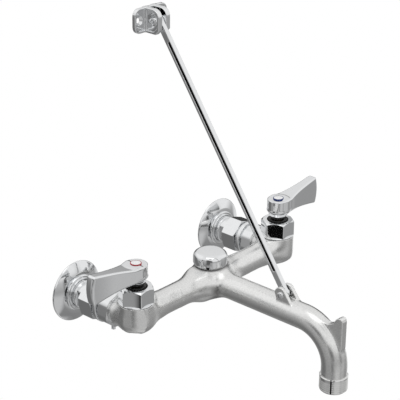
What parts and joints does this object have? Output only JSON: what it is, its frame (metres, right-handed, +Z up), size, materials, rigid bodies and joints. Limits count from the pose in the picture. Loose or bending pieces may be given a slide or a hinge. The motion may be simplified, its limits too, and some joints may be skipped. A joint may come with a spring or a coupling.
{
  "type": "wall-mounted service faucet",
  "caption": "Wall-mounted mixing faucet with lever handles, cross arms, vacuum breaker, bent spout with hose thread and pail hook, and a brace to the wall.",
  "frame": {"origin": "on the wall plane, midway between the axes of the two inlets", "axes": "+Y points into the wall, -Y into the room, +X to the cold side (right, seen facing the wall), +Z up"},
  "size_m": [0.318, 0.2475, 0.3172],
  "materials": {
    "polished_chrome": "polished",
    "cast_chrome": "cast, tumbled and plated satin",
    "brass": "turned",
    "stainless": "turned",
    "black_plastic": "moulded",
    "white_plastic": "moulded",
    "ceramic": "lapped alumina",
    "rubber": "moulded",
    "fibre_washer": "pressed",
    "hot_index": "white with a red ring",
    "cold_index": "white with a blue ring"
  },
  "bodies": {
    "faucet": {"faucet_body": "cast_chrome", "hot_flange": "polished_chrome", "hot_supply_shank": "polished_chrome", "hot_coupling_nut": "polished_chrome", "hot_union_washer": "fibre_washer", "hot_stop_body": "polished_chrome", "hot_stop_gland": "brass", "hot_cartridge": "black_plastic", "hot_seat_seal": "rubber", "hot_fixed_disc": "ceramic", "hot_bonnet_nut": "polished_chrome", "cold_flange": "polished_chrome", "cold_supply_shank": "polished_chrome", "cold_coupling_nut": "polished_chrome", "cold_union_washer": "fibre_washer", "cold_stop_body": "polished_chrome", "cold_stop_gland": "brass", "cold_cartridge": "black_plastic", "cold_seat_seal": "rubber", "cold_fixed_disc": "ceramic", "cold_bonnet_nut": "polished_chrome", "breaker_cap": "polished_chrome", "breaker_seat": "brass", "brace_pin": "stainless"},
    "hot_valve": {"hot_handle": "polished_chrome", "hot_handle_screw": "stainless", "hot_index_button": "hot_index", "hot_stem": "brass", "hot_stem_ring": "rubber", "hot_moving_disc": "ceramic"},
    "cold_valve": {"cold_handle": "polished_chrome", "cold_handle_screw": "stainless", "cold_index_button": "cold_index", "cold_stem": "brass", "cold_stem_ring": "rubber", "cold_moving_disc": "ceramic"},
    "hot_stop": {"hot_stop_plug": "brass"},
    "cold_stop": {"cold_stop_plug": "brass"},
    "float": {"breaker_float": "white_plastic", "breaker_float_seal": "rubber"},
    "brace": {"brace_rod": "polished_chrome"},
    "bracket": {"wall_bracket": "polished_chrome", "bracket_pin": "stainless"}
  },
  "joints": [
    {"name": "hot_handle_turn", "type": "hinge", "parent": "faucet", "child": "hot_valve", "pos_m": [-0.1016, -0.0814, 0.045], "axis": [0, 0, 1], "range_deg": [0, 90]},
    {"name": "cold_handle_turn", "type": "hinge", "parent": "faucet", "child": "cold_valve", "pos_m": [0.1016, -0.0814, 0.045], "axis": [0, 0, -1], "range_deg": [0, 90]},
    {"name": "hot_stop_turn", "type": "hinge", "parent": "faucet", "child": "hot_stop", "pos_m": [-0.1016, -0.051, 0], "axis": [0, 0, 1], "range_deg": [0, 90]},
    {"name": "cold_stop_turn", "type": "hinge", "parent": "faucet", "child": "cold_stop", "pos_m": [0.1016, -0.051, 0], "axis": [0, 0, 1], "range_deg": [0, 90]},
    {"name": "float_lift", "type": "slide", "parent": "faucet", "child": "float", "axis": [0, 0, 1], "range_m": [0, 0.003]},
    {"name": "brace_swing", "type": "hinge", "parent": "faucet", "child": "brace", "pos_m": [0, -0.1745, 0.0204], "axis": [1, 0, 0], "range_deg": [-20, 60]},
    {"name": "bracket_swing", "type": "hinge", "parent": "brace", "child": "bracket", "pos_m": [0, -0.0148, 0.248], "axis": [1, 0, 0], "range_deg": [-55, 90]}
  ]
}
